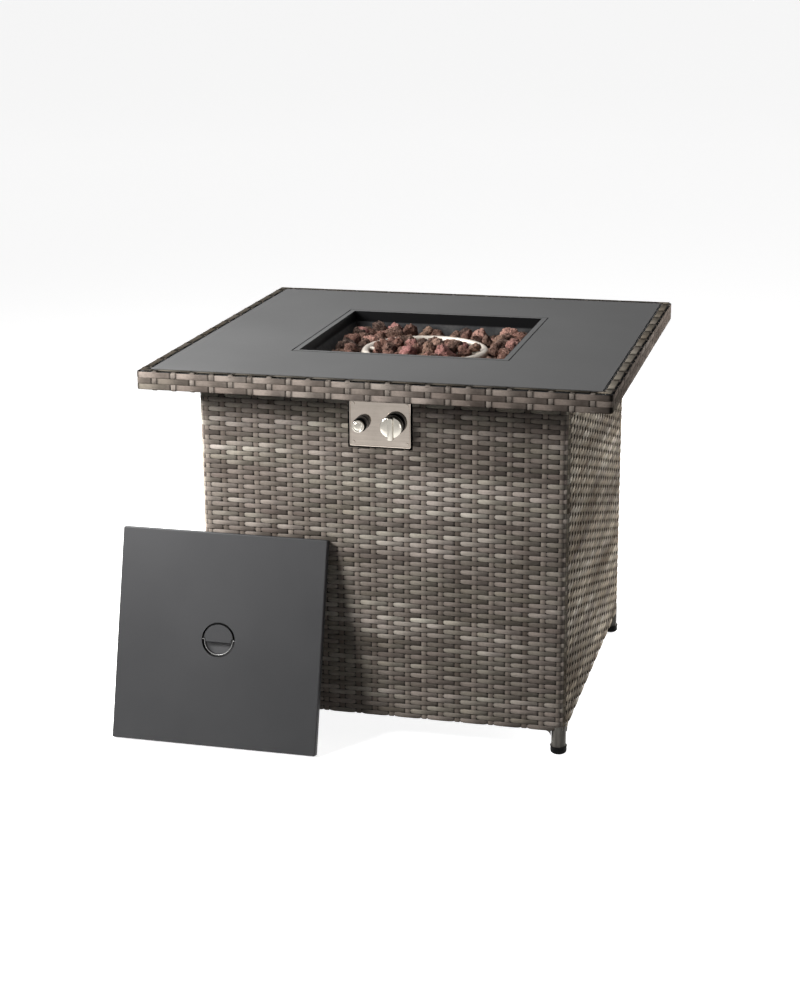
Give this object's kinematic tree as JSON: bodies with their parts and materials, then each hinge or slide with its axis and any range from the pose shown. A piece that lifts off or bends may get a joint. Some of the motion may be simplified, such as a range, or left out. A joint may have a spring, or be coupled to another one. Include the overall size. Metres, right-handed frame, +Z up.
{
  "type": "gas fire pit table",
  "caption": "Square outdoor gas fire table with a woven body and rim, a sunken bowl of lava rock round a ring burner, a control plate and a lift-off lid.",
  "frame": {"origin": "on the floor under the middle of the square top", "axes": "+Z up, +X to the right of a user who faces the controls, -Y towards that user"},
  "size_m": [0.821, 0.7922, 0.625],
  "materials": {
    "powder_black": "satin powder coat",
    "resin_wicker": "streaked grey-brown satin strands",
    "black_plastic": "moulded satin",
    "top_paint": "matte fine-textured powder coat",
    "bowl_paint": "heat-proof matte",
    "stainless": "brushed",
    "polished_plate": "polished",
    "chrome": "polished",
    "brass": "machined",
    "copper": "drawn",
    "lead_rubber": "matte",
    "lava_stone": "rough and porous",
    "electrode_ceramic": "glossy",
    "lid_paint": "satin powder coat",
    "bail_steel": "satin powder coat"
  },
  "bodies": {
    "table": {"corner_posts": "powder_black", "upper_rails": "powder_black", "lower_rails": "powder_black", "rim_frame": "powder_black", "panel_ledge": "powder_black", "top_bars": "powder_black", "tank_tray": "powder_black", "control_box": "powder_black", "hinge_brackets": "powder_black", "front_wicker": "resin_wicker", "left_wicker": "resin_wicker", "right_wicker": "resin_wicker", "back_wicker": "resin_wicker", "leg_wraps": "resin_wicker", "rim_wicker": "resin_wicker", "foot_caps": "black_plastic", "door_magnet": "black_plastic", "tabletop": "top_paint", "fire_bowl": "bowl_paint", "burner_ring": "stainless", "feed_pipe": "stainless", "heat_shield": "stainless", "thermocouple": "stainless", "pilot_bracket": "stainless", "panel_screws": "stainless", "top_bolts": "stainless", "valve_screws": "stainless", "control_plate": "polished_plate", "igniter_body": "chrome", "igniter_nut": "chrome", "burner_locknut": "brass", "burner_mixer": "brass", "gas_jet": "brass", "gas_valve": "brass", "thermocouple_lead": "copper", "ignition_lead": "lead_rubber", "lava_rocks": "lava_stone", "spark_electrode": "electrode_ceramic"},
    "spindle": {"valve_spindle": "brass"},
    "knob": {"knob_core": "black_plastic", "knob_shell": "chrome"},
    "button": {"igniter_button": "chrome"},
    "door": {"door_frame": "powder_black", "door_wicker": "resin_wicker", "hinge_pins": "stainless", "catch_plate": "stainless", "door_knob": "chrome"},
    "lid": {"lid_panel": "lid_paint", "pull_cup": "lid_paint", "pull_plate": "lid_paint"},
    "bail": {"pull_bail": "bail_steel"}
  },
  "joints": [
    {"name": "valve_turn", "type": "hinge", "parent": "table", "child": "spindle", "pos_m": [0.0225, -0.31, 0.54], "axis": [0, -1, 0], "range_deg": [0, 180]},
    {"name": "knob_push", "type": "slide", "parent": "spindle", "child": "knob", "axis": [0, 1, 0], "range_m": [0, 0.004], "stiffness_N_per_m": 1500},
    {"name": "button_push", "type": "slide", "parent": "table", "child": "button", "axis": [0, 1, 0], "range_m": [0, 0.0045], "stiffness_N_per_m": 1500},
    {"name": "door_swing", "type": "hinge", "parent": "table", "child": "door", "pos_m": [-0.2715, 0.2965, 0.32], "axis": [0, 0, 1], "range_deg": [0, 110]},
    {"name": "lid_lift", "type": "slide", "parent": "table", "child": "lid", "axis": [0, -0.9636, 0.2672], "range_m": [0, 0.5]},
    {"name": "bail_swing", "type": "hinge", "parent": "lid", "child": "bail", "pos_m": [-0.2635, -0.3621, 0.17305], "axis": [-1, 0, 0], "range_deg": [0, 90]}
  ]
}
